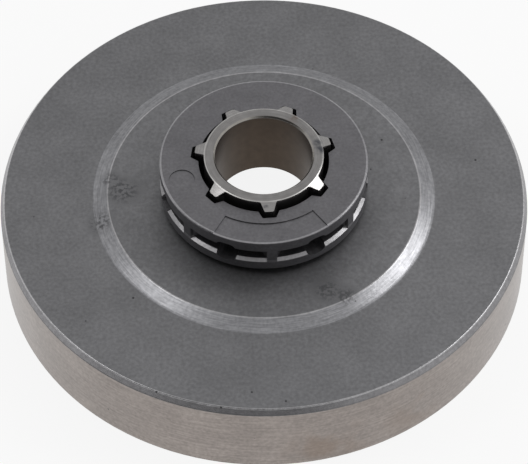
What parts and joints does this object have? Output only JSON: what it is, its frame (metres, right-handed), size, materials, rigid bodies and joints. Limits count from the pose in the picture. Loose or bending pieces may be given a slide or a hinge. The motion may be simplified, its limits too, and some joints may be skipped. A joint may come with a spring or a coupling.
{
  "type": "chainsaw clutch drum",
  "caption": "Pressed steel clutch cup with a splined hub in its web and a loose rim sprocket that floats on the splines.",
  "frame": {"origin": "centre of the cup's mouth, in the plane that it stands on", "axes": "+Z along the axis of rotation, out of the face towards the sprocket; one hub spline points along -Y"},
  "size_m": [0.082, 0.082, 0.0243],
  "materials": {
    "drum_steel": "grey blasted face and ground outer wall",
    "hub_steel": "turned and hardened, fine lathe marks",
    "rim_steel": "dark case-hardened steel"
  },
  "bodies": {
    "drum_body": {"drum": "drum_steel", "splined_hub": "hub_steel"},
    "rim_body": {"rim_sprocket": "rim_steel"}
  },
  "joints": [
    {"name": "rim_float", "type": "slide", "parent": "drum_body", "child": "rim_body", "axis": [0, 0, 1], "range_m": [0, 0.0013]}
  ]
}
